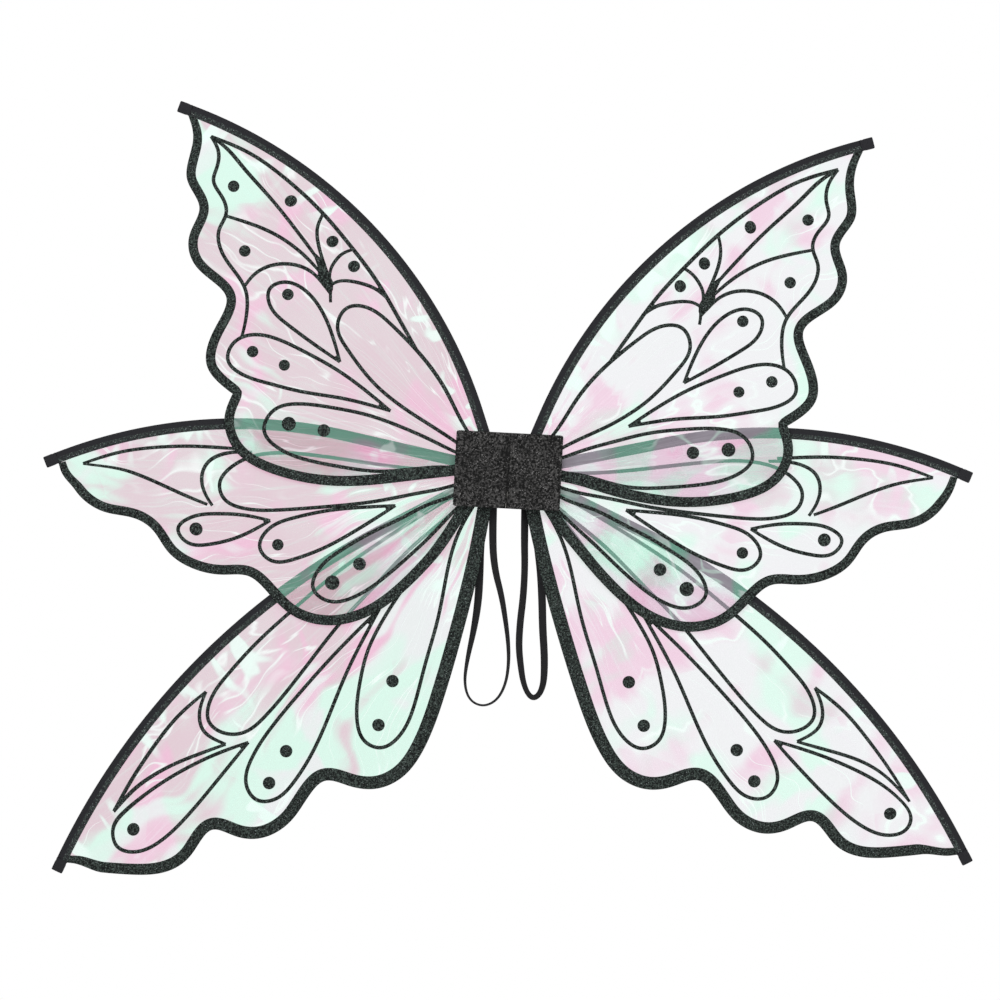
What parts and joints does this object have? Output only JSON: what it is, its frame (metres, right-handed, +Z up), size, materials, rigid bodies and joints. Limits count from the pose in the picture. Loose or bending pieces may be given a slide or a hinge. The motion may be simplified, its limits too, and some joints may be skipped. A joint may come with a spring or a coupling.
{
  "type": "fairy wings",
  "caption": "Costume fairy wings: iridescent film wings on bent wire ribs, fanned from a folding glitter hub with elastic shoulder loops.",
  "frame": {"origin": "middle of the hub, on the plane that lies against the wearer's back", "axes": "+X to the viewer's right when the printed side is seen, +Z up, +Y towards the wearer's back"},
  "size_m": [0.9508, 0.0224, 0.7786],
  "materials": {
    "wing_film": "clear iridescent film, pink to mint",
    "spring_steel": "drawn wire",
    "black_sleeve": "matt black cloth tape, glittered along its inner edge",
    "black_cap": "matt",
    "black_felt": "felt",
    "grey_card": "stiff card, raw edge",
    "black_glitter": "black glitter cloth",
    "rivet_steel": "plated",
    "nylon": "natural nylon",
    "black_elastic": "flat woven elastic"
  },
  "bodies": {
    "left_hub": {"left_back_lining": "black_felt", "left_back_board": "grey_card", "left_front_board": "grey_card", "left_front_cover": "black_glitter", "left_core_strip": "grey_card", "left_pivot_rivet": "rivet_steel", "left_pivot_washers": "nylon", "left_strap_anchor": "black_elastic", "left_strap_loop": "black_elastic"},
    "right_hub": {"right_back_lining": "black_felt", "right_back_board": "grey_card", "right_front_board": "grey_card", "right_front_cover": "black_glitter", "right_core_strip": "grey_card", "right_pivot_rivet": "rivet_steel", "right_pivot_washers": "nylon", "right_strap_anchor": "black_elastic", "right_strap_loop": "black_elastic"},
    "left_upper_wing": {"left_upper_film": "wing_film", "left_upper_rib_wire": "spring_steel", "left_upper_rib_sleeve": "black_sleeve", "left_upper_tip_cap": "black_cap"},
    "left_middle_wing": {"left_middle_film": "wing_film", "left_middle_rib_wire": "spring_steel", "left_middle_rib_sleeve": "black_sleeve", "left_middle_tip_cap": "black_cap"},
    "left_lower_wing": {"left_lower_film": "wing_film", "left_lower_rib_wire": "spring_steel", "left_lower_rib_sleeve": "black_sleeve", "left_lower_tip_cap": "black_cap"},
    "right_upper_wing": {"right_upper_film": "wing_film", "right_upper_rib_wire": "spring_steel", "right_upper_rib_sleeve": "black_sleeve", "right_upper_tip_cap": "black_cap"},
    "right_middle_wing": {"right_middle_film": "wing_film", "right_middle_rib_wire": "spring_steel", "right_middle_rib_sleeve": "black_sleeve", "right_middle_tip_cap": "black_cap"},
    "right_lower_wing": {"right_lower_film": "wing_film", "right_lower_rib_wire": "spring_steel", "right_lower_rib_sleeve": "black_sleeve", "right_lower_tip_cap": "black_cap"}
  },
  "joints": [
    {"name": "centre_fold", "type": "hinge", "parent": "left_hub", "child": "right_hub", "pos_m": [0, -0.0166, 0], "axis": [0, 0, -1], "range_deg": [0, 170]},
    {"name": "left_upper_fan", "type": "hinge", "parent": "left_hub", "child": "left_upper_wing", "pos_m": [-0.012, -0.0119, 0], "axis": [0, 1, 0], "range_deg": [-34, 18]},
    {"name": "left_middle_fan", "type": "hinge", "parent": "left_hub", "child": "left_middle_wing", "pos_m": [-0.012, -0.0083, 0], "axis": [0, 1, 0], "range_deg": [-22, 22]},
    {"name": "left_lower_fan", "type": "hinge", "parent": "left_hub", "child": "left_lower_wing", "pos_m": [-0.012, -0.0047, 0], "axis": [0, 1, 0], "range_deg": [-8, 33]},
    {"name": "right_upper_fan", "type": "hinge", "parent": "right_hub", "child": "right_upper_wing", "pos_m": [0.012, -0.0119, 0], "axis": [0, -1, 0], "range_deg": [-34, 18]},
    {"name": "right_middle_fan", "type": "hinge", "parent": "right_hub", "child": "right_middle_wing", "pos_m": [0.012, -0.0083, 0], "axis": [0, -1, 0], "range_deg": [-22, 22]},
    {"name": "right_lower_fan", "type": "hinge", "parent": "right_hub", "child": "right_lower_wing", "pos_m": [0.012, -0.0047, 0], "axis": [0, -1, 0], "range_deg": [-15, 26]}
  ]
}
